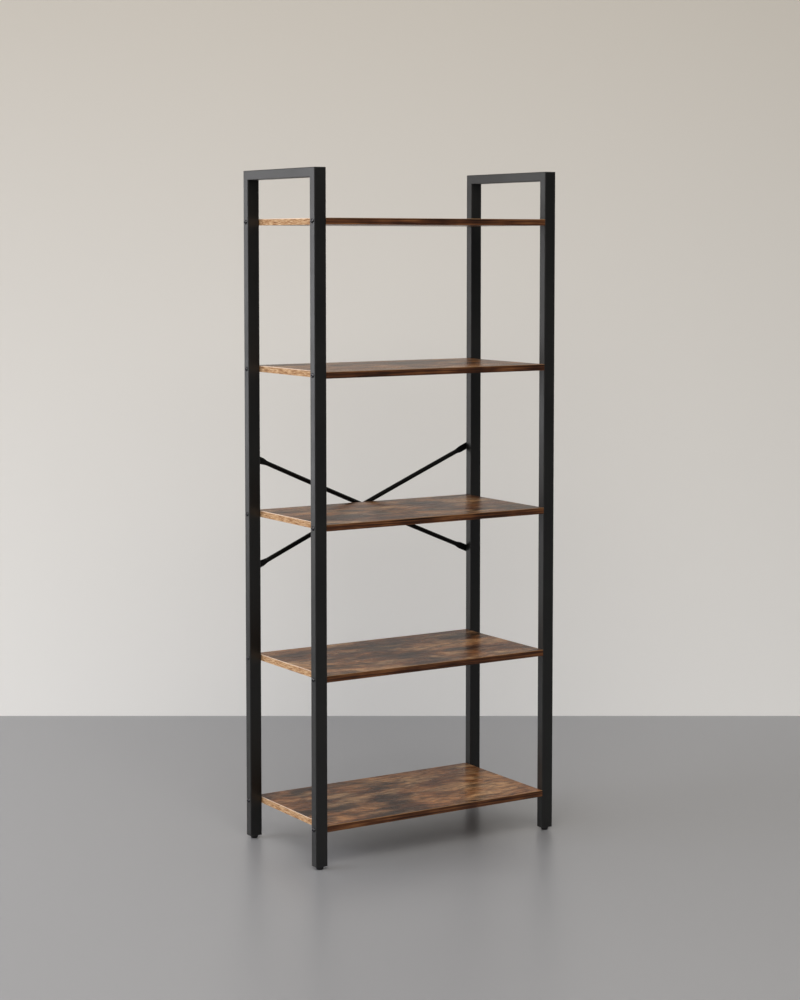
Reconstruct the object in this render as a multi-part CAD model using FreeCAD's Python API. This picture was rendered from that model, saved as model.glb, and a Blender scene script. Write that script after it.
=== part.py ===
import FreeCAD, Part
import math
import os

from FreeCAD import Vector

os.makedirs("parts", exist_ok=True)

# An open bookcase: two inverted U frames of rectangular steel tube, five boards bolted between
# them and a pair of crossed braces on the back.
# Millimetres. X runs across the width, the front faces -Y, Z is up from the floor.

# Overall sizes
overall_width = 660.0
frame_depth = 332.0
overall_height = 1585.0

# Frame tube: its width lies along X, its depth in the plane of the side frame
tube_width = 30.0
tube_depth = 22.0
tube_wall = 1.2
tube_corner = 2.0
tube_inner_corner = 0.8
weld_round = 2.0

# Shelves
shelf_count = 5
lowest_shelf_top = 100.0
top_shelf_drop = 112.0
board_thickness = 15.0
band_thickness = 1.0
band_round = 0.5

# Button-head shelf bolts and the threaded inserts that they turn in
bolt_diameter = 6.0
bolt_head_diameter = 10.4
bolt_head_height = 3.2
bolt_head_rim = 0.5
bolt_crown_diameter = 5.4
bolt_dome = 0.6
bolt_engagement = 11.0
bolt_lead = 0.8
socket_across_flats = 4.0
socket_depth = 1.9
insert_diameter = 10.0
insert_length = 13.0
insert_lip = 0.8
insert_collar = 1.2
hole_clearance = 0.25
fit_clearance = 0.05

# Crossed braces of round tube, pressed flat at the ends and sprung past the middle shelf and each other
brace_diameter = 11.0
brace_rise = 135.5
brace_lift = 0.5
brace_flat_thickness = 2.2
brace_flat_length = 36.0
brace_end_taper = 13.0
brace_gap = 0.3
brace_screw_reach = 2.0
square_nut_width = 10.0
square_nut_thickness = 5.0

# End plugs with their captive nuts
plug_flange = 3.0
plug_chamfer = 0.8
plug_depth = 16.0
plug_rib_depth = 1.6
plug_rib_thickness = 1.4
plug_rib_count = 4
hex_nut_across_flats = 10.0
hex_nut_thickness = 5.0

# Levelling feet
foot_height = 7.0
foot_gap = 0.3
foot_top_diameter = 19.0
foot_bottom_diameter = 15.0
foot_bottom_round = 1.2
foot_floor = 1.6
foot_travel = 10.0

AXIS_X = Vector(1, 0, 0)
AXIS_Y = Vector(0, 1, 0)
AXIS_Z = Vector(0, 0, 1)

# Behind the rear posts one brace just clears the middle shelf, and the other passes behind the first
brace_radius = brace_diameter / 2
near_brace_y = brace_gap + brace_radius
far_brace_y = near_brace_y + brace_diameter + brace_gap

# The braces stand out behind the rear posts, so the frames sit forward of the middle by half of that
rear_projection = far_brace_y + brace_radius
front_y = -(frame_depth + rear_projection) / 2
rear_y = front_y + frame_depth
middle_y = (front_y + rear_y) / 2

# Places along the posts
post_x = (overall_width - tube_width) / 2
clear_width = overall_width - 2 * tube_width
post_front_y = front_y + tube_depth / 2
post_rear_y = rear_y - tube_depth / 2
plug_bottom = foot_height + foot_gap
post_bottom = plug_bottom + plug_flange
shelf_pitch = (overall_height - top_shelf_drop - lowest_shelf_top) / (shelf_count - 1)
shelf_mids = [lowest_shelf_top + shelf_pitch * i - board_thickness / 2 for i in range(shelf_count)]
brace_mid = shelf_mids[shelf_count // 2] + brace_lift
brace_heights = (brace_mid - brace_rise, brace_mid + brace_rise)
sides = (("left", -1), ("right", 1))
ends = (("front", post_front_y), ("rear", post_rear_y))


def save(shape, name):
    shape.exportStep("parts/" + name + ".step")


def cylinder(diameter, start, axis, length):
    return Part.makeCylinder(diameter / 2, length, start, axis)


def block(size_x, size_y, size_z, centre):
    corner = centre - Vector(size_x / 2, size_y / 2, size_z / 2)
    return Part.makeBox(size_x, size_y, size_z, corner)


def joined(edges):
    return Part.Wire(Part.__sortEdges__(edges))


def rounded_rectangle(width, depth, radius):
    arcs = []
    for quarter, (sign_x, sign_y) in enumerate(((1, 1), (-1, 1), (-1, -1), (1, -1))):
        centre = Vector(sign_x * (width / 2 - radius), sign_y * (depth / 2 - radius), 0)
        arcs.append(Part.makeCircle(radius, centre, AXIS_Z, 90 * quarter, 90 * quarter + 90))
    lines = []
    for this, following in zip(arcs, arcs[1:] + arcs[:1]):
        start = this.valueAt(this.LastParameter)
        lines.append(Part.makeLine(start, following.valueAt(following.FirstParameter)))
    return Part.Face(joined(arcs + lines))


def slot(length, width):
    """A face in the XZ plane with straight sides and round ends."""
    half = width / 2
    reach = length / 2 - half
    upper = [Vector(-reach, 0, half), Vector(reach, 0, half)]
    lower = [Vector(reach, 0, -half), Vector(-reach, 0, -half)]
    right = Part.Arc(upper[1], Vector(length / 2, 0, 0), lower[0]).toShape()
    left = Part.Arc(lower[1], Vector(-length / 2, 0, 0), upper[0]).toShape()
    return Part.Face(Part.Wire([Part.makeLine(*upper), right, Part.makeLine(*lower), left]))


def domed(start, stop, bulge):
    """An arc in the XZ plane that stands out from its chord by a bulge, away from the axis."""
    chord = stop - start
    across = Vector(-chord.z, 0, chord.x).normalize()
    outward = across if across.x > 0 else across * -1
    return Part.Arc(start, (start + stop) / 2 + outward * bulge, stop).toShape()


def hexagon(across_flats, height, base):
    radius = across_flats / math.sqrt(3)
    corners = []
    for i in range(7):
        angle = math.radians(60 * i)
        corners.append(base + Vector(radius * math.cos(angle), radius * math.sin(angle), 0))
    return Part.Face(Part.makePolygon(corners)).extrude(AXIS_Z * height)


def revolved(points):
    """Turn an outline of (radius, height) corners about the vertical axis."""
    corners = [Vector(radius, 0, height) for radius, height in points]
    return Part.Face(Part.makePolygon(corners + corners[:1])).revolve(Vector(0, 0, 0), AXIS_Z, 360)


def turned_to(shape, axis, place):
    """Lay a piece that was made along +Z along another axis, with its origin at a place."""
    laid = shape.copy()
    laid.Placement = FreeCAD.Placement(place, FreeCAD.Rotation(AXIS_Z, axis))
    return laid


# Frame tube
def tube(length):
    outer = rounded_rectangle(tube_width, tube_depth, tube_corner)
    inner = rounded_rectangle(tube_width - 2 * tube_wall, tube_depth - 2 * tube_wall, tube_inner_corner)
    return outer.extrude(AXIS_Z * length).cut(inner.extrude(AXIS_Z * length))


def mitre_wedge(x, outer_y, inward, above):
    """The half of a top corner's square that lies above, or below, its 45 degree mitre."""
    inner_y = outer_y + inward * tube_depth
    low = overall_height - tube_depth
    square_corner = (inner_y, overall_height) if above else (outer_y, low)
    corners = [(outer_y, overall_height), square_corner, (inner_y, low)]
    left = x - tube_width / 2
    points = [Vector(left, y, z) for y, z in corners]
    return Part.Face(Part.makePolygon(points + points[:1])).extrude(AXIS_X * tube_width)


def corner_waste(x, outer_y, inward):
    """What is ground off the outer edge of a welded top corner."""
    left = x - tube_width / 2
    corner = Vector(left, outer_y, overall_height)
    reach = Vector(0, inward * weld_round, -weld_round)
    points = [corner, corner + Vector(0, reach.y, 0), corner + reach, corner + Vector(0, 0, reach.z)]
    square = Part.Face(Part.makePolygon(points + points[:1])).extrude(AXIS_X * tube_width)
    return square.cut(cylinder(2 * weld_round, corner + reach, AXIS_X, tube_width))


def post(side, end_name, y):
    x = side * post_x
    inward = 1 if end_name == "front" else -1
    outer_y = y - inward * tube_depth / 2
    shape = tube(overall_height - post_bottom)
    shape.translate(Vector(x, y, post_bottom))
    hole = bolt_diameter + 2 * hole_clearance
    cuts = [mitre_wedge(x, outer_y, inward, True), corner_waste(x, outer_y, inward)]
    for height in shelf_mids:
        cuts.append(cylinder(hole, Vector(x - tube_width / 2, y, height), AXIS_X, tube_width))
    if end_name == "rear":
        for height in brace_heights:
            cuts.append(cylinder(hole, Vector(x, rear_y - tube_wall, height), AXIS_Y, tube_wall))
    return shape.cut(cuts)


def top_rail(side):
    x = side * post_x
    shape = turned_to(tube(frame_depth), AXIS_Y, Vector(x, front_y, overall_height - tube_depth / 2))
    cuts = []
    for outer_y, inward in ((front_y, 1), (rear_y, -1)):
        cuts.append(mitre_wedge(x, outer_y, inward, False))
        cuts.append(corner_waste(x, outer_y, inward))
    return shape.cut(cuts)


# Shelves
def shelf_board(mid):
    depth = frame_depth - 2 * band_thickness
    board = block(clear_width, depth, board_thickness, Vector(0, middle_y, mid))
    barrel = insert_diameter + 2 * fit_clearance
    collar = barrel + 2 * insert_lip
    pockets = []
    for _, side in sides:
        for _, y in ends:
            mouth = Vector(side * clear_width / 2, y, mid)
            pockets.append(cylinder(barrel, mouth, AXIS_X * -side, insert_length))
            pockets.append(cylinder(collar, mouth, AXIS_X * -side, insert_collar))
    return board.cut(pockets)


def edge_band(mid, outward):
    """A glued band whose two outer long edges are eased."""
    outer_y = front_y if outward < 0 else rear_y
    centre = Vector(0, outer_y - outward * band_thickness / 2, mid)
    band = block(clear_width, band_thickness, board_thickness, centre)
    eased = []
    for edge in band.Edges:
        middle = edge.CenterOfMass
        if abs(middle.x) < clear_width / 4 and abs(middle.y - outer_y) < band_thickness / 4:
            if abs(middle.z - mid) > board_thickness / 4:
                eased.append(edge)
    return band.makeFillet(min(band_round, band_thickness * 4 / 5), eased)


def button_bolt(length):
    """A button-head bolt along +Z, head below its seat at the origin."""
    radius = bolt_diameter / 2
    head = bolt_head_diameter / 2
    rim = Vector(head, 0, -bolt_head_rim)
    crown = Vector(bolt_crown_diameter / 2, 0, -bolt_head_height)
    corners = [crown, Vector(0, 0, -bolt_head_height), Vector(0, 0, length),
               Vector(radius - bolt_lead, 0, length), Vector(radius, 0, length - bolt_lead),
               Vector(radius, 0, 0), Vector(head, 0, 0), rim]
    lines = [Part.makeLine(start, stop) for start, stop in zip(corners, corners[1:])]
    outline = Part.Face(joined([domed(rim, crown, bolt_dome)] + lines))
    solid = outline.revolve(Vector(0, 0, 0), AXIS_Z, 360)
    return solid.cut(hexagon(socket_across_flats, socket_depth, Vector(0, 0, -bolt_head_height)))


def shelf_bolts(mid):
    bolt = button_bolt(tube_width + bolt_engagement)
    bolts = []
    for _, side in sides:
        for _, y in ends:
            bolts.append(turned_to(bolt, AXIS_X * -side, Vector(side * overall_width / 2, y, mid)))
    return Part.makeCompound(bolts)


def shelf_inserts(mid):
    inner = bolt_diameter / 2 + fit_clearance
    outer = insert_diameter / 2
    collar = outer + insert_lip
    outline = [(inner, 0), (collar, 0), (collar, insert_collar), (outer, insert_collar),
               (outer, insert_length), (inner, insert_length)]
    insert = revolved(outline)
    inserts = []
    for _, side in sides:
        for _, y in ends:
            inserts.append(turned_to(insert, AXIS_X * -side, Vector(side * clear_width / 2, y, mid)))
    return Part.makeCompound(inserts)


# Braces
brace_run = 2 * post_x
brace_length = math.hypot(brace_run, 2 * brace_rise)
brace_slope = math.atan2(2 * brace_rise, brace_run)


def pressed_width(thickness):
    """The width of the tube pressed to a thickness, with its girth unchanged."""
    return thickness + math.pi * (brace_diameter - thickness) / 2


def pressed_section(place):
    """The flat tube's section across X: two flats and two round sides."""
    half = brace_flat_thickness / 2
    reach = (pressed_width(brace_flat_thickness) - brace_flat_thickness) / 2
    corners = [(half, reach), (half, -reach), (-half, -reach), (-half, reach)]
    rear_start, rear_stop, front_start, front_stop = [place + Vector(0, y, z) for y, z in corners]
    lower = Part.Arc(rear_stop, place - AXIS_Z * (reach + half), front_start).toShape()
    upper = Part.Arc(front_stop, place + AXIS_Z * (reach + half), rear_start).toShape()
    rear = Part.makeLine(rear_start, rear_stop)
    front = Part.makeLine(front_start, front_stop)
    return Part.Wire([rear, lower, front, upper])


def round_section(place):
    """The whole tube's section across X, cut into the arcs that the pressing turns to flats and sides."""
    turn = math.pi * (brace_diameter - brace_flat_thickness) / 2 / brace_diameter
    deep = brace_radius * math.cos(turn)
    across = brace_radius * math.sin(turn)
    corners = [(deep, across), (deep, -across), (-deep, -across), (-deep, across)]
    points = [place + Vector(0, y, z) for y, z in corners]
    middles = [AXIS_Y, AXIS_Z * -1, AXIS_Y * -1, AXIS_Z]
    edges = []
    for start, middle, stop in zip(points, middles, points[1:] + points[:1]):
        edges.append(Part.Arc(start, place + middle * brace_radius, stop).toShape())
    return Part.Wire(edges)


def brace(direction, crossing_y):
    """One brace, bowed from its flat ends to the depth at which it passes the middle."""
    half = brace_length / 2
    eye_round = pressed_width(brace_flat_thickness) / 2
    flat_y = brace_flat_thickness / 2
    flat_end = half - brace_flat_length
    bow = crossing_y - flat_y
    bow_radius = (flat_end ** 2 + bow ** 2) / (2 * bow)
    bow_centre = Vector(0, crossing_y - bow_radius, 0)
    turn = math.degrees(math.asin((flat_end - brace_end_taper) / bow_radius))
    tip = pressed_section(Vector(half + eye_round, flat_y, 0))
    neck = pressed_section(Vector(flat_end, flat_y, 0))
    tube_end = round_section(Vector(0, crossing_y, 0))
    tube_end.rotate(bow_centre, AXIS_Z, -turn)
    outline = slot(2 * (half + eye_round), 2 * eye_round)
    flat = Part.makeLoft([tip, neck], True, True).common(outline.extrude(AXIS_Y * brace_flat_thickness))
    eye_hole = bolt_diameter + 2 * hole_clearance
    flat = flat.cut(cylinder(eye_hole, Vector(half, 0, 0), AXIS_Y, brace_flat_thickness))
    taper = Part.makeLoft([neck, tube_end], True, True)
    right_end = [flat, taper]
    left_end = [piece.mirror(Vector(0, 0, 0), AXIS_X) for piece in right_end]
    bar = Part.Face(tube_end).revolve(bow_centre, AXIS_Z, 2 * turn)
    bar = bar.fuse(right_end + left_end).removeSplitter()
    bar.rotate(Vector(0, 0, 0), AXIS_Y, -direction * math.degrees(brace_slope))
    bar.translate(Vector(0, rear_y, brace_mid))
    return bar


def brace_screws():
    reach = brace_flat_thickness + tube_wall + square_nut_thickness + brace_screw_reach
    screw = button_bolt(reach)
    seat = rear_y + brace_flat_thickness
    screws = []
    for _, side in sides:
        for height in brace_heights:
            screws.append(turned_to(screw, AXIS_Y * -1, Vector(side * post_x, seat, height)))
    return Part.makeCompound(screws)


def brace_nuts():
    seat = rear_y - tube_wall
    nuts = []
    for _, side in sides:
        for height in brace_heights:
            face = Vector(side * post_x, seat, height)
            centre = face - AXIS_Y * (square_nut_thickness / 2)
            nut = block(square_nut_width, square_nut_thickness, square_nut_width, centre)
            thread = bolt_diameter + 2 * fit_clearance
            nuts.append(nut.cut(cylinder(thread, face, AXIS_Y * -1, square_nut_thickness)))
    return Part.makeCompound(nuts)


# Feet
def end_plug(x, y):
    """A ribbed plug in the foot of a post, with a captive nut's pocket in its top."""
    flange = rounded_rectangle(tube_width, tube_depth, tube_corner).extrude(AXIS_Z * plug_flange)
    lower = [edge for edge in flange.Edges if edge.BoundBox.ZMax < plug_flange / 4]
    flange = flange.makeChamfer(min(plug_chamfer, tube_corner / 2, plug_flange / 2), lower)
    inside_width = tube_width - 2 * tube_wall - 2 * fit_clearance
    inside_depth = tube_depth - 2 * tube_wall - 2 * fit_clearance
    core = block(inside_width - 2 * plug_rib_depth, inside_depth - 2 * plug_rib_depth, plug_depth,
                 Vector(0, 0, plug_flange + plug_depth / 2))
    ribs = []
    rib_step = (plug_depth - plug_rib_thickness) / plug_rib_count
    section = rounded_rectangle(inside_width, inside_depth, tube_inner_corner)
    for i in range(plug_rib_count):
        rib = section.extrude(AXIS_Z * plug_rib_thickness)
        ribs.append(rib.translated(AXIS_Z * (plug_flange + rib_step * (i + 0.5))))
    shape = flange.fuse([core] + ribs).removeSplitter()
    top = plug_flange + plug_depth
    bore = cylinder(bolt_diameter + 2 * fit_clearance, Vector(0, 0, 0), AXIS_Z, top)
    pocket_floor = Vector(0, 0, top - hex_nut_thickness)
    pocket = hexagon(hex_nut_across_flats + 2 * fit_clearance, hex_nut_thickness, pocket_floor)
    return shape.cut([bore, pocket]).translated(Vector(x, y, plug_bottom))


def plug_nuts():
    base = plug_bottom + plug_flange + plug_depth - hex_nut_thickness
    nuts = []
    for _, side in sides:
        for _, y in ends:
            place = Vector(side * post_x, y, base)
            nut = hexagon(hex_nut_across_flats, hex_nut_thickness, place)
            thread = bolt_diameter + 2 * fit_clearance
            nuts.append(nut.cut(cylinder(thread, place, AXIS_Z, hex_nut_thickness)))
    return Part.makeCompound(nuts)


def foot_base(x, y):
    top = foot_top_diameter / 2
    bottom = foot_bottom_diameter / 2
    cone = revolved([(0, 0), (bottom, 0), (top, foot_height), (0, foot_height)])
    rim = []
    for edge in cone.Edges:
        box = edge.BoundBox
        if box.ZMax < foot_height / 4 and box.XLength > bottom:
            rim.append(edge)
    shape = cone.makeFillet(min(foot_bottom_round, foot_height / 2), rim)
    socket = cylinder(bolt_diameter, Vector(0, 0, foot_floor), AXIS_Z, foot_height - foot_floor)
    return shape.cut(socket).translated(Vector(x, y, 0))


def foot_stud(x, y):
    """The stud still fills its nut with the foot screwed right out."""
    top = plug_bottom + plug_flange + plug_depth + foot_travel
    radius = bolt_diameter / 2
    outline = [(0, foot_floor), (radius, foot_floor), (radius, top - bolt_lead),
               (radius - bolt_lead, top), (0, top)]
    return revolved(outline).translated(Vector(x, y, 0))


for side_name, side in sides:
    save(top_rail(side), side_name + "_top_rail")
    for end_name, y in ends:
        corner = side_name + "_" + end_name
        save(post(side, end_name, y), corner + "_post")
        save(end_plug(side * post_x, y), corner + "_end_plug")
        save(foot_base(side * post_x, y), corner + "_foot")
        save(foot_stud(side * post_x, y), corner + "_foot_stud")
save(plug_nuts(), "plug_nuts")

for number, mid in enumerate(shelf_mids, 1):
    shelf = "shelf_" + str(number)
    save(shelf_board(mid), shelf + "_board")
    save(edge_band(mid, -1), shelf + "_front_band")
    save(edge_band(mid, 1), shelf + "_rear_band")
    save(shelf_bolts(mid), shelf + "_bolts")
    save(shelf_inserts(mid), shelf + "_inserts")

save(brace(1, near_brace_y), "brace_rising_right")
save(brace(-1, far_brace_y), "brace_rising_left")
save(brace_screws(), "brace_screws")
save(brace_nuts(), "brace_nuts")
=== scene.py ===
import math

import bmesh
import bpy
from mathutils import Matrix, Vector


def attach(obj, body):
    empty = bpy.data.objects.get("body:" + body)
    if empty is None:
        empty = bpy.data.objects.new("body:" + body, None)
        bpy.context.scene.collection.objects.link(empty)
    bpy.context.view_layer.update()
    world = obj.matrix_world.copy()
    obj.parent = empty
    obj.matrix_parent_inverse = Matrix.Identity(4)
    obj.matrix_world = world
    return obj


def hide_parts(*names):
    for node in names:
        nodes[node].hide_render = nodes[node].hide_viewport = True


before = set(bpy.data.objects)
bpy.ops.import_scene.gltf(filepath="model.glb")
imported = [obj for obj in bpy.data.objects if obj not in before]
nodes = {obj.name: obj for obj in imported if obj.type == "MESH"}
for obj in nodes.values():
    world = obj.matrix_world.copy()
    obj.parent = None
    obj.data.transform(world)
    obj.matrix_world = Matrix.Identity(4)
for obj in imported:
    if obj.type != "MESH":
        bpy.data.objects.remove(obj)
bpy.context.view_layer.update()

scene = bpy.context.scene
mm = 0.001
noiseSpan = (0.3, 0.7)  # most of a noise field lies between these
noiseMiddle = 0.5
# a Mix node has one set of sockets for numbers and another for colours
numberA, numberB, numberOut = 2, 3, 0
colourA, colourB, colourOut = 6, 7, 2
print("frame loaded:", len(nodes), "nodes")


def linearColour(hexCode):
    # sRGB hex to the linear numbers that a socket takes
    parts = [int(hexCode[i:i + 2], 16) / 255 for i in (1, 3, 5)]
    return tuple(p / 12.92 if p <= 0.04045 else ((p + 0.055) / 1.055) ** 2.4 for p in parts) + (1.0,)


def perMetre(size):
    # a texture's scale for a pattern of so many mm
    return 1000 / size


def fillSockets(tree, node, inputs):
    # a constant is set on its socket, and an output of another node is linked to it
    for name, value in inputs.items():
        if isinstance(value, bpy.types.NodeSocket):
            tree.links.new(value, node.inputs[name])
        else:
            node.inputs[name].default_value = value


def addNode(tree, kind, inputs=None, stops=None, **settings):
    # a node with its settings, its colour stops, and its sockets filled
    node = tree.nodes.new(kind)
    for name, value in settings.items():
        setattr(node, name, value)
    for i, (place, tone) in enumerate(stops or []):
        band = node.color_ramp.elements
        stop = band[i] if i < 2 else band.new(place)  # a new ramp has two stops
        stop.position = place
        stop.color = linearColour(tone)
    fillSockets(tree, node, inputs or {})
    return node


def startMaterial(name):
    # a new material, with its tree and its shader
    material = bpy.data.materials.new(name)
    material.use_nodes = True
    tree = material.node_tree
    return material, tree, tree.nodes["Principled BSDF"]


def dress(material, endings):
    # every node whose name ends so takes this one material
    for name, piece in nodes.items():
        if name.endswith(endings):
            piece.data.materials.clear()
            piece.data.materials.append(material)


def placeMesh(name, bm, material):
    # the finished mesh as an object at the origin
    mesh = bpy.data.meshes.new(name)
    bm.to_mesh(mesh)
    bm.free()
    mesh.materials.append(material)
    piece = bpy.data.objects.new(name, mesh)
    scene.collection.objects.link(piece)
    return piece


# Satin black powder coat on the tube: a soft-edged sheen over near black, faintly pebbled where the powder
# flowed out
coatLook = {
    "tones": [(0.35, "#0d0d0c"), (0.75, "#141412")], "patchSize": 140,  # the paler tone is a thin dust
    "roughness": (0.33, 0.43), "ior": 1.5, "mirror": 0.57,
    "peelSize": 3.5, "peelDepth": 0.05, "peelStrength": 0.35,  # real peel is about 1.5 mm, too fine to show
}


def powderCoat(name, look):
    material, tree, shader = startMaterial(name)
    place = addNode(tree, "ShaderNodeTexCoord").outputs["Object"]
    patches = addNode(tree, "ShaderNodeTexNoise", {
        "Vector": place, "Scale": perMetre(look["patchSize"]), "Detail": 4.0,
        "Roughness": 0.6}).outputs["Fac"]
    tone = addNode(tree, "ShaderNodeValToRGB", {"Fac": patches}, stops=look["tones"])
    gloss = addNode(tree, "ShaderNodeMapRange", {
        "Value": patches, "From Min": noiseSpan[0], "From Max": noiseSpan[1],
        "To Min": look["roughness"][0], "To Max": look["roughness"][1]})
    peel = addNode(tree, "ShaderNodeTexNoise", {
        "Vector": place, "Scale": perMetre(look["peelSize"]), "Detail": 2.0, "Roughness": 0.45})
    bump = addNode(tree, "ShaderNodeBump", {
        "Height": peel.outputs["Fac"], "Strength": look["peelStrength"], "Distance": look["peelDepth"] * mm})
    fillSockets(tree, shader, {
        "Base Color": tone.outputs["Color"], "Roughness": gloss.outputs["Result"],
        "Normal": bump.outputs["Normal"], "IOR": look["ior"], "Specular IOR Level": look["mirror"]})
    return material


dress(powderCoat("satinBlackPowderCoat", coatLook), ("_post", "_top_rail"))

# The same coat on the slim braces, with darker tones as painted shade where they look blacker, and a weaker
# shine
shadedBraceLook = dict(coatLook, tones=[(0.35, "#080808"), (0.75, "#0d0d0c")], roughness=(0.4, 0.48), mirror=0.2)
dress(powderCoat("shadedBlackBraceCoat", shadedBraceLook), ("brace_rising_right", "brace_rising_left"))
print("powder coat done")

shelfPlan = {"lowestTop": 100, "pitch": 343.25, "stripShows": 0.8}  # the first two in mm


def topStrip(tree, place, height):
    # how much of a strip, so many mm high along the top edge of every shelf, shows at a point
    split = addNode(tree, "ShaderNodeSeparateXYZ", {"Vector": place})
    raised = addNode(tree, "ShaderNodeMath", {0: split.outputs["Z"], 1: shelfPlan["lowestTop"] * mm},
                     operation="SUBTRACT")
    half = shelfPlan["pitch"] * mm / 2
    fromTop = addNode(tree, "ShaderNodeMath", {0: raised.outputs["Value"], 1: half, 2: -half},
                      operation="WRAP")
    return addNode(tree, "ShaderNodeMapRange", {
        "Value": fromTop.outputs["Value"], "From Min": -height * mm, "From Max": -height * mm / 2,
        "To Max": shelfPlan["stripShows"]}).outputs["Result"]


# Rustic plank print under a satin melamine film: warm brown grain with smoky stains, cracks and a few knots,
# and a wet-looking reflection at low angles. The sawn ends show straw-coloured chipboard.
boardLook = {
    "waveLength": 260, "waveHeight": 18, "waveSpan": (0.25, 0.75),  # how far the grain wanders, mm
    # each layer of the print: length along the board, width across it, both mm, then detail and roughness
    "layers": {
        "cloud": (170, 90, 4.0, 0.55), "stain": (150, 66, 5.0, 0.57), "tan": (140, 50, 5.0, 0.58),
        "streak": (95, 7, 4.0, 0.62), "crack": (330, 24, 1.0, 0.4), "figure": (260, 70, 2.0, 0.45),
        "mottle": (34, 15, 4.0, 0.62),
        "fibre": (46, 2.0, 2.0, 0.5),  # real fibres are under 1 mm, too fine to show
    },
    "layerStep": (3.7, 1.3, 0.0), "distortion": 0.25,  # each layer comes from another place in the noise
    "tones": [(0.36, "#5c3723"), (0.46, "#7c4f2f"), (0.54, "#9e6a41"), (0.66, "#bb8758")],
    # what lies over the tones: colour, where in its field it begins and where it is full, and how much shows
    "tan": ("#dcb385", 0.37, 0.56, 0.66), "stain": ("#302118", 0.6, 0.76, 0.88),
    "figure": ("#302118", 0.42, 0.5, 0.3), "crack": ("#21150e", 0.01, 0.0, 0.45),
    "knot": ("#21150e", 9, 3, 0.8),  # begins and is full at these distances from its middle, mm
    "fray": {"tan": -0.25, "stain": 0.25},  # the share of the streaks in these two fields
    "figureCount": 16, "figureFold": 0.5, "knotSpacing": (230, 120),
    # what darkens the print: colour, where in its field it is darkest and where it ends, and how much shows
    "darkeners": {
        "streak": ("#8f8680", 0.34, 0.56, 0.5), "mottle": ("#6f645c", 0.36, 0.58, 0.7),
        "fibre": ("#a39b95", 0.36, 0.58, 0.6),
    },
    "filmRoughness": (0.34, 0.24),  # from dark streaks to pale ones
    "ior": 1.5, "mirror": 0.05,  # the embossed film mirrors less than a flat one
    "chipLength": 22, "chipWidth": 2.0, "chipRoughness": 0.85,
    "chipTones": [(0.34, "#63412c"), (0.44, "#97704e"), (0.54, "#b8946f"), (0.68, "#d4ba98")],
    # the pale top strip of each sawn end is partly the paper's edge, widened, and partly a painted highlight
    "paperEdgeAndHighlight": "#ead3bd", "paperAndHighlightHeight": 1.8,  # the real paper is thinner, too fine to show
    "endFacing": 0.5,  # a face that is turned further than this along X is a sawn end
    "bumpDepth": 0.2, "bumpStrength": 0.12,
}


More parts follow.
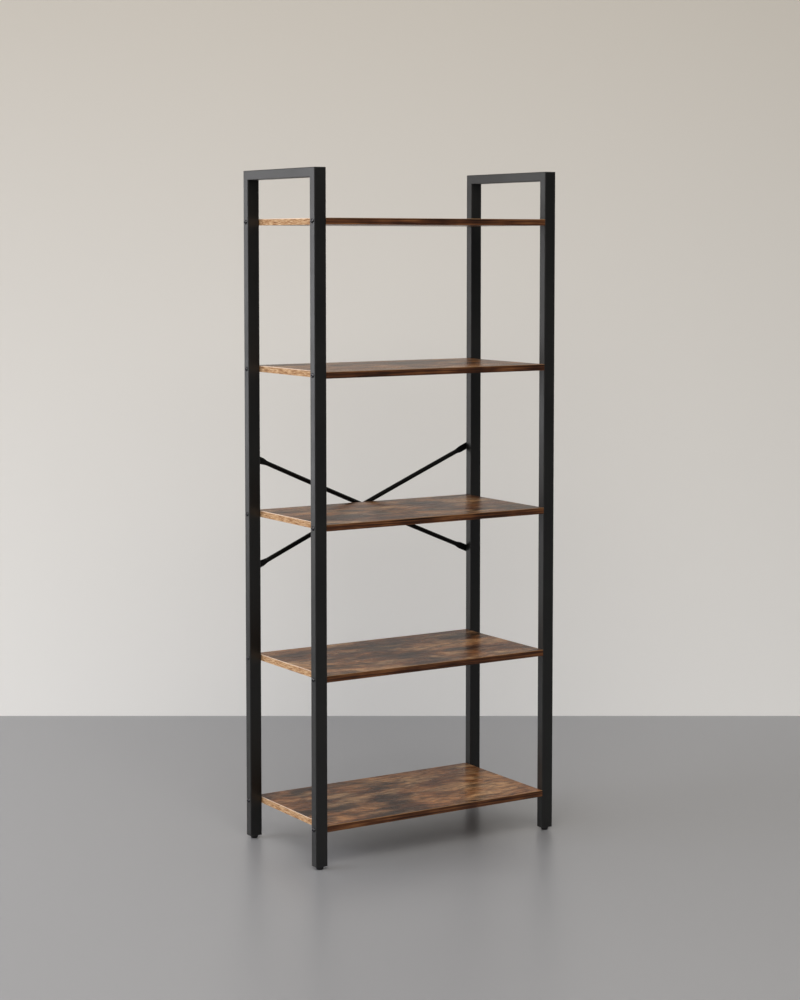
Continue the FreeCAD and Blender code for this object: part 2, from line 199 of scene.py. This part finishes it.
def plankBoard(look):
    material, tree, shader = startMaterial("rusticPlankLaminateOnChipboard")
    where = addNode(tree, "ShaderNodeTexCoord")
    place = where.outputs["Object"]
    # the grain wanders across the board
    wave = addNode(tree, "ShaderNodeTexNoise", {
        "Vector": place, "Scale": perMetre(look["waveLength"]), "Detail": 3.0})
    sway = addNode(tree, "ShaderNodeMapRange", {
        "Value": wave.outputs["Fac"], "From Min": look["waveSpan"][0], "From Max": look["waveSpan"][1],
        "To Min": -look["waveHeight"] * mm, "To Max": look["waveHeight"] * mm})
    sideways = addNode(tree, "ShaderNodeCombineXYZ", {"Y": sway.outputs["Result"]})
    grain = addNode(tree, "ShaderNodeVectorMath", {0: place, 1: sideways.outputs["Vector"]},
                    operation="ADD").outputs["Vector"]

    fields = {}
    for name, (length, width, detail, roughness) in look["layers"].items():
        stretched = addNode(tree, "ShaderNodeMapping", {
            "Vector": grain, "Location": tuple(step * len(fields) for step in look["layerStep"]),
            "Scale": (perMetre(length), perMetre(width), perMetre(length))})
        fields[name] = addNode(tree, "ShaderNodeTexNoise", {
            "Vector": stretched.outputs["Vector"], "Scale": 1.0, "Detail": detail, "Roughness": roughness,
            "Distortion": look["distortion"]}).outputs["Fac"]

    def laidOver(below, field, tone, begins, full, most):
        amount = addNode(tree, "ShaderNodeMapRange", {
            "Value": field, "From Min": begins, "From Max": full, "To Max": most})
        return addNode(tree, "ShaderNodeMix", {
            "Factor": amount.outputs["Result"], colourA: below, colourB: linearColour(tone)},
            data_type="RGBA").outputs[colourOut]

    clouds = addNode(tree, "ShaderNodeValToRGB", {"Fac": fields["cloud"]}, stops=look["tones"])
    colour = clouds.outputs["Color"]
    # tan patches, and then stains, fray along the grain
    for name, share in look["fray"].items():
        frayed = addNode(tree, "ShaderNodeMath", {0: fields["streak"], 1: share, 2: fields[name]},
                         operation="MULTIPLY_ADD")
        colour = laidOver(colour, frayed.outputs["Value"], *look[name])
    # figure lines are the contours of a stretched field, folded so that it rises and falls once per line
    rings = addNode(tree, "ShaderNodeMath", {0: fields["figure"], 1: look["figureCount"]},
                    operation="MULTIPLY")
    folded = addNode(tree, "ShaderNodeMath", {0: rings.outputs["Value"], 1: look["figureFold"]},
                     operation="PINGPONG")
    colour = laidOver(colour, folded.outputs["Value"], *look["figure"])
    # cracks run where another field is near its middle
    offMiddle = addNode(tree, "ShaderNodeMath", {0: fields["crack"], 1: noiseMiddle}, operation="SUBTRACT")
    nearMiddle = addNode(tree, "ShaderNodeMath", {0: offMiddle.outputs["Value"]}, operation="ABSOLUTE")
    colour = laidOver(colour, nearMiddle.outputs["Value"], *look["crack"])
    # knots stand singly
    along, across = look["knotSpacing"]
    spaced = addNode(tree, "ShaderNodeMapping", {
        "Vector": grain, "Scale": (perMetre(along), perMetre(across), perMetre(along))})
    knots = addNode(tree, "ShaderNodeTexVoronoi", {"Vector": spaced.outputs["Vector"], "Scale": 1.0})
    tone, begins, full, most = look["knot"]
    colour = laidOver(colour, knots.outputs["Distance"], tone, begins / across, full / across, most)
    for name, (dark, low, high, amount) in look["darkeners"].items():
        lines = addNode(tree, "ShaderNodeValToRGB", {"Fac": fields[name]},
                        stops=[(low, dark), (high, "#ffffff")])
        colour = addNode(tree, "ShaderNodeMix", {
            "Factor": amount, colourA: colour, colourB: lines.outputs["Color"]},
            data_type="RGBA", blend_type="MULTIPLY").outputs[colourOut]

    # pressed flakes on the sawn ends, laid along the end, below a pale top strip that is partly the printed
    # paper's edge and partly a painted highlight
    length, width = look["chipLength"], look["chipWidth"]
    flaked = addNode(tree, "ShaderNodeMapping", {
        "Vector": place, "Scale": (perMetre(width), perMetre(length), perMetre(width))})
    flakes = addNode(tree, "ShaderNodeTexNoise", {
        "Vector": flaked.outputs["Vector"], "Scale": 1.0, "Detail": 4.0, "Roughness": 0.7,
        "Distortion": 0.6}).outputs["Fac"]
    chips = addNode(tree, "ShaderNodeValToRGB", {"Fac": flakes}, stops=look["chipTones"])
    sawn = addNode(tree, "ShaderNodeMix", {
        "Factor": topStrip(tree, place, look["paperAndHighlightHeight"]), colourA: chips.outputs["Color"],
        colourB: linearColour(look["paperEdgeAndHighlight"])}, data_type="RGBA")
    facing = addNode(tree, "ShaderNodeSeparateXYZ", {"Vector": where.outputs["Normal"]})
    outward = addNode(tree, "ShaderNodeMath", {0: facing.outputs["X"]}, operation="ABSOLUTE")
    isEnd = addNode(tree, "ShaderNodeMath", {0: outward.outputs["Value"], 1: look["endFacing"]},
                    operation="GREATER_THAN").outputs["Value"]

    finish = addNode(tree, "ShaderNodeMix", {
        "Factor": isEnd, colourA: colour, colourB: sawn.outputs[colourOut]}, data_type="RGBA")
    film = addNode(tree, "ShaderNodeMapRange", {
        "Value": fields["streak"], "From Min": noiseSpan[0], "From Max": noiseSpan[1],
        "To Min": look["filmRoughness"][0], "To Max": look["filmRoughness"][1]})
    gloss = addNode(tree, "ShaderNodeMix", {
        "Factor": isEnd, numberA: film.outputs["Result"], numberB: look["chipRoughness"]}, data_type="FLOAT")
    height = addNode(tree, "ShaderNodeMix", {
        "Factor": isEnd, numberA: fields["fibre"], numberB: flakes}, data_type="FLOAT")
    bump = addNode(tree, "ShaderNodeBump", {
        "Height": height.outputs[numberOut], "Strength": look["bumpStrength"],
        "Distance": look["bumpDepth"] * mm})
    fillSockets(tree, shader, {
        "Base Color": finish.outputs[colourOut], "Roughness": gloss.outputs[numberOut],
        "Normal": bump.outputs["Normal"], "IOR": look["ior"], "Specular IOR Level": look["mirror"]})
    return material


dress(plankBoard(boardLook), ("_board",))
print("boards done")

# Wood-grain edge band, a printed plastic strip: dark brown with long fine streaks, and a paler strip along
# the top arris that is a painted highlight
bandLook = {
    "grainLength": 150, "grainWidth": 3, "patchLength": 80, "patchShare": 0.3,
    "tones": [(0.37, "#1e110a"), (0.46, "#3d2214"), (0.54, "#5f3a22"), (0.64, "#8a5c38")],
    # the arris tone is a painted highlight, laid only along the top edge of each band
    "arrisHighlight": "#a57c54", "arrisHighlightHeight": 1.3,
    "roughness": 0.4, "ior": 1.5, "mirror": 0.25,  # the strip's fine grain breaks up its shine
    "bumpDepth": 0.15, "bumpStrength": 0.2,
}


def edgeBand(look):
    material, tree, shader = startMaterial("woodGrainEdgeBand")
    place = addNode(tree, "ShaderNodeTexCoord").outputs["Object"]
    sizes = (look["grainLength"], look["patchLength"], look["grainWidth"])
    stretched = addNode(tree, "ShaderNodeMapping", {
        "Vector": place, "Scale": tuple(perMetre(size) for size in sizes)})
    grain = addNode(tree, "ShaderNodeTexNoise", {
        "Vector": stretched.outputs["Vector"], "Scale": 1.0, "Detail": 5.0, "Roughness": 0.6,
        "Distortion": 0.2}).outputs["Fac"]
    patches = addNode(tree, "ShaderNodeTexNoise", {
        "Vector": place, "Scale": perMetre(look["patchLength"]), "Detail": 2.0})
    blend = addNode(tree, "ShaderNodeMix", {
        "Factor": look["patchShare"], numberA: grain, numberB: patches.outputs["Fac"]}, data_type="FLOAT")
    tones = addNode(tree, "ShaderNodeValToRGB", {"Fac": blend.outputs[numberOut]}, stops=look["tones"])
    # the paler strip along the top edge is a painted highlight
    colour = addNode(tree, "ShaderNodeMix", {
        "Factor": topStrip(tree, place, look["arrisHighlightHeight"]), colourA: tones.outputs["Color"],
        colourB: linearColour(look["arrisHighlight"])}, data_type="RGBA")
    bump = addNode(tree, "ShaderNodeBump", {
        "Height": grain, "Strength": look["bumpStrength"], "Distance": look["bumpDepth"] * mm})
    fillSockets(tree, shader, {
        "Base Color": colour.outputs[colourOut], "Roughness": look["roughness"],
        "Normal": bump.outputs["Normal"], "IOR": look["ior"], "Specular IOR Level": look["mirror"]})
    return material


dress(edgeBand(bandLook), ("_band",))
print("edge bands done")

# Metals: black oxide is a dark metal with an oily glint, zinc plate a pale one with a soft cloudy glint
metalLooks = {
    "blackOxideSteel": {
        "tones": [(0.35, "#454547"), (0.65, "#626266")], "cloudSize": 4, "roughness": (0.2, 0.3)},
    "brightZincPlate": {
        "tones": [(0.35, "#a9adb2"), (0.65, "#c8cbce")], "cloudSize": 3, "roughness": (0.24, 0.36)},
}


def platedMetal(name, look):
    material, tree, shader = startMaterial(name)
    place = addNode(tree, "ShaderNodeTexCoord").outputs["Object"]
    clouds = addNode(tree, "ShaderNodeTexNoise", {
        "Vector": place, "Scale": perMetre(look["cloudSize"]), "Detail": 4.0}).outputs["Fac"]
    tone = addNode(tree, "ShaderNodeValToRGB", {"Fac": clouds}, stops=look["tones"])
    gloss = addNode(tree, "ShaderNodeMapRange", {
        "Value": clouds, "From Min": noiseSpan[0], "From Max": noiseSpan[1],
        "To Min": look["roughness"][0], "To Max": look["roughness"][1]})
    fillSockets(tree, shader, {
        "Base Color": tone.outputs["Color"], "Roughness": gloss.outputs["Result"], "Metallic": 1.0})
    return material


blackSteel, zincPlate = (platedMetal(name, look) for name, look in metalLooks.items())
dress(blackSteel, ("_bolts", "brace_screws"))
dress(zincPlate, ("_inserts", "_nuts", "_foot_stud"))

# Moulded plastics: nylon plugs are a little waxy, the feet a harder matt black
plasticLooks = {
    "mouldedBlackNylon": {
        "tones": [(0.4, "#151516"), (0.7, "#1e1e1f")], "roughness": 0.48, "ior": 1.53,
        "grainSize": 2.5, "grainDepth": 0.05, "grainStrength": 0.25},
    "mouldedBlackFootPlastic": {
        "tones": [(0.4, "#111112"), (0.7, "#1b1b1b")], "roughness": 0.55, "ior": 1.46,
        "grainSize": 2.0, "grainDepth": 0.05, "grainStrength": 0.25},
}


def mouldedPlastic(name, look):
    material, tree, shader = startMaterial(name)
    place = addNode(tree, "ShaderNodeTexCoord").outputs["Object"]
    grain = addNode(tree, "ShaderNodeTexNoise", {
        "Vector": place, "Scale": perMetre(look["grainSize"]), "Detail": 3.0}).outputs["Fac"]
    tone = addNode(tree, "ShaderNodeValToRGB", {"Fac": grain}, stops=look["tones"])
    bump = addNode(tree, "ShaderNodeBump", {
        "Height": grain, "Strength": look["grainStrength"], "Distance": look["grainDepth"] * mm})
    fillSockets(tree, shader, {
        "Base Color": tone.outputs["Color"], "Roughness": look["roughness"],
        "Normal": bump.outputs["Normal"], "IOR": look["ior"]})
    return material


blackNylon, footPlastic = (mouldedPlastic(name, look) for name, look in plasticLooks.items())
dress(blackNylon, ("_end_plug",))
dress(footPlastic, ("_foot",))
print("metals and plastics done")

# Rolled M6 thread on each levelling stud, seen when a foot is screwed out; lengths in mm
studPlan = {
    "bottom": 1.6, "top": 36.3, "majorRadius": 3.0, "minorRadius": 2.39, "lead": 0.8,
    "pitch": 1.0, "rootFlat": 0.25, "crestFlat": (0.5625, 0.6875),  # the flats as parts of the pitch
    "stepsPerTurn": 24, "spareTurns": 2, "weld": 1e-3,
    "postX": 315.0, "frontY": -166.3, "rearY": 143.7,
}


def threadedStud(name, x, y, plan):
    bottom, top, pitch = plan["bottom"] * mm, plan["top"] * mm, plan["pitch"] * mm
    crest, root = plan["majorRadius"] * mm, plan["minorRadius"] * mm
    # one pitch of the profile, from root flat over the crest flat to the next root
    crestStart, crestEnd = plan["crestFlat"]
    profile = [(root, 0.0), (root, plan["rootFlat"]), (crest, crestStart), (crest, crestEnd), (root, 1.0)]
    bm = bmesh.new()
    points = [bm.verts.new((radius, 0.0, bottom + (part - 1.0) * pitch)) for radius, part in profile]
    edges = [bm.edges.new(pair) for pair in zip(points, points[1:])]
    turns = math.ceil((top - bottom) / pitch) + plan["spareTurns"]
    steps = turns * plan["stepsPerTurn"]
    bmesh.ops.spin(bm, geom=points + edges, cent=(0, 0, 0), axis=(0, 0, 1), angle=math.tau * turns,
                   steps=steps, dvec=(0, 0, pitch / plan["stepsPerTurn"]), use_merge=False)
    bmesh.ops.remove_doubles(bm, verts=bm.verts, dist=plan["weld"] * mm)
    # the sweep is cut square at both ends, which takes off the spare turns, and closed
    for level, outward in ((bottom, -1), (top, 1)):
        bmesh.ops.bisect_plane(bm, geom=bm.verts[:] + bm.edges[:] + bm.faces[:], plane_co=(0, 0, level),
                               plane_no=(0, 0, outward), clear_outer=True)
        bmesh.ops.holes_fill(bm, edges=[edge for edge in bm.edges if edge.is_boundary], sides=0)
    # the top has a lead, sloped at 45 degrees
    lead = plan["lead"] * mm
    for vert in bm.verts:
        radius = math.hypot(vert.co.x, vert.co.y)
        most = crest - max(0.0, vert.co.z - (top - lead))
        if radius > most:
            vert.co.x, vert.co.y = vert.co.x * most / radius, vert.co.y * most / radius
    bmesh.ops.recalc_face_normals(bm, faces=bm.faces)
    bmesh.ops.translate(bm, vec=(x * mm, y * mm, 0.0), verts=bm.verts)
    return placeMesh(name, bm, zincPlate)


for side, sign in (("left", -1), ("right", 1)):
    for end in ("front", "rear"):
        corner = side + "_" + end
        postX, postY = sign * studPlan["postX"], studPlan[end + "Y"]
        stud = threadedStud(corner + "_threaded_stud", postX, postY, studPlan)
        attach(stud, corner + "_leveller")
        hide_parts(corner + "_foot_stud")
print("threaded studs done")

# Camera at the photograph's angle, solved from the lines of posts and shelves
cameraPlace = {
    "at": (-2.7417, -4.3445, 1.4147), "heading": 32.31, "down": 4.24,
    "lens": 78.05, "sensor": 36.0, "shift": -0.0953, "farthest": 60.0,
}
heading = math.radians(cameraPlace["heading"])
cameraData = bpy.data.cameras.new("photoCamera")
cameraData.lens = cameraPlace["lens"]
cameraData.sensor_width = cameraPlace["sensor"]
cameraData.shift_y = cameraPlace["shift"]
cameraData.clip_end = cameraPlace["farthest"]
camera = bpy.data.objects.new("photoCamera", cameraData)
camera.location = cameraPlace["at"]
camera.rotation_euler = (math.radians(90 - cameraPlace["down"]), 0.0, -heading)
scene.collection.objects.link(camera)
scene.camera = camera

# Stage: a wide satin grey floor, and a pale matt wall square to the camera; both are clear from behind
stageLook = {
    "floor": "#8f8f91", "floorRoughness": 0.34, "floorMirror": 0.5, "floorSize": 40.0,
    # the wall is painted a little darker higher up, a painted shade, over a rise of so many metres
    "wallShadeTones": [(0.0, "#f0eeea"), (1.0, "#cac4ba")], "shadeFadeHeight": 2.1,
    "wallRoughness": 0.9, "wallMirror": 0.5, "wallWidth": 16.0, "wallHeight": 7.0, "wallDistance": 6.43,
}


def stagePaint(name, roughness, mirror):
    # plain paint, clear from behind so that the part shows from every side
    material, tree, shader = startMaterial(name)
    behind = addNode(tree, "ShaderNodeNewGeometry").outputs["Backfacing"]
    clear = addNode(tree, "ShaderNodeBsdfTransparent").outputs["BSDF"]
    seen = addNode(tree, "ShaderNodeMixShader", {0: behind, 1: shader.outputs["BSDF"], 2: clear})
    fillSockets(tree, shader, {"Roughness": roughness, "Specular IOR Level": mirror})
    fillSockets(tree, tree.nodes["Material Output"], {"Surface": seen.outputs["Shader"]})
    return material, tree, shader


def stagePlane(name, width, depth, matrix, material):
    bm = bmesh.new()
    bmesh.ops.create_grid(bm, x_segments=1, y_segments=1, size=0.5)  # a square of 1 m
    bmesh.ops.scale(bm, vec=(width, depth, 1.0), verts=bm.verts)
    bmesh.ops.transform(bm, matrix=matrix, verts=bm.verts)
    plane = placeMesh(name, bm, material)


floorPaint, floorTree, floorShader = stagePaint(
    "paleFloor", stageLook["floorRoughness"], stageLook["floorMirror"])
fillSockets(floorTree, floorShader, {"Base Color": linearColour(stageLook["floor"])})
stagePlane("floor", stageLook["floorSize"], stageLook["floorSize"], Matrix.Identity(4), floorPaint)

wallPaint, wallTree, wallShader = stagePaint("paleWall", stageLook["wallRoughness"], stageLook["wallMirror"])
# the wall's colour darkens with height, a painted shade
wallPlace = addNode(wallTree, "ShaderNodeTexCoord").outputs["Object"]
wallSplit = addNode(wallTree, "ShaderNodeSeparateXYZ", {"Vector": wallPlace})
upTheWall = addNode(wallTree, "ShaderNodeMath", {0: wallSplit.outputs["Z"], 1: stageLook["shadeFadeHeight"]},
                    operation="DIVIDE")
wallShadeTone = addNode(wallTree, "ShaderNodeValToRGB", {"Fac": upTheWall.outputs["Value"]},
                   stops=stageLook["wallShadeTones"])
fillSockets(wallTree, wallShader, {"Base Color": wallShadeTone.outputs["Color"]})

ahead = Vector((math.sin(heading), math.cos(heading), 0))
wallMiddle = Vector(cameraPlace["at"]) + stageLook["wallDistance"] * ahead
wallMiddle.z = stageLook["wallHeight"] / 2
wallTurn = Matrix.Rotation(-heading, 4, "Z") @ Matrix.Rotation(math.radians(90), 4, "X")
wallMatrix = Matrix.Translation(wallMiddle) @ wallTurn
stagePlane("wall", stageLook["wallWidth"], stageLook["wallHeight"], wallMatrix, wallPaint)

# Light: a large far window on the left that reflections don't show, a pane flush with the wall that the left
# faces mirror, a soft panel above the front, and a room that is dim on the right
lightPlan = {
    "window": {
        "at": (-6.4, 1.6, 2.4), "aim": (0.0, 0.0, 0.8), "size": (5.0, 4.6),
        "watts": 155, "tint": "#f6f8ff", "spread": 120, "mirrored": False},
    "pane": {
        "at": (-2.38, 2.96, 1.5), "aim": (-3.98, 0.43, 1.5), "size": (1.8, 2.2),
        "watts": 42, "tint": "#f6f8ff", "spread": 180, "mirrored": True},
    "panel": {
        "at": (-1.4, -2.6, 3.6), "aim": (0.0, 0.0, 0.8), "size": (2.6, 2.6),
        "watts": 90, "tint": "#fffaf2", "spread": 180, "mirrored": True},
}
for name, plan in lightPlan.items():
    lampData = bpy.data.lights.new(name, "AREA")
    lampData.shape = "RECTANGLE"
    lampData.size, lampData.size_y = plan["size"]
    lampData.energy = plan["watts"]
    lampData.spread = math.radians(plan["spread"])
    lampData.color = linearColour(plan["tint"])[:3]
    lamp = bpy.data.objects.new(name, lampData)
    lamp.location = plan["at"]
    lamp.rotation_euler = (Vector(plan["aim"]) - lamp.location).to_track_quat("-Z", "Y").to_euler()
    lamp.visible_camera = False
    lamp.visible_glossy = plan["mirrored"]
    scene.collection.objects.link(lamp)

# the room fades from dim to lit between these cosines of the angle from its lit direction
worldLook = {"lit": "#e0e0e0", "dim": "#3e3e3e", "towards": (-0.45, 0.5, 0.74), "cosines": (-0.8, 0.8)}
world = bpy.data.worlds.new("softRoom")
world.use_nodes = True
scene.world = world
worldTree = world.node_tree
outlook = addNode(worldTree, "ShaderNodeTexCoord").outputs["Generated"]
litWay = tuple(Vector(worldLook["towards"]).normalized())
litSide = addNode(worldTree, "ShaderNodeVectorMath", {0: outlook, 1: litWay}, operation="DOT_PRODUCT")
dimEnd, litEnd = worldLook["cosines"]
litPart = addNode(worldTree, "ShaderNodeMapRange", {
    "Value": litSide.outputs["Value"], "From Min": dimEnd, "From Max": litEnd},
    interpolation_type="SMOOTHSTEP")
roomTone = addNode(worldTree, "ShaderNodeMix", {
    "Factor": litPart.outputs["Result"], colourA: linearColour(worldLook["dim"]),
    colourB: linearColour(worldLook["lit"])}, data_type="RGBA")
fillSockets(worldTree, worldTree.nodes["Background"], {"Color": roomTone.outputs[colourOut]})
scene.view_settings.view_transform = "Standard"
print("camera, stage and light done")
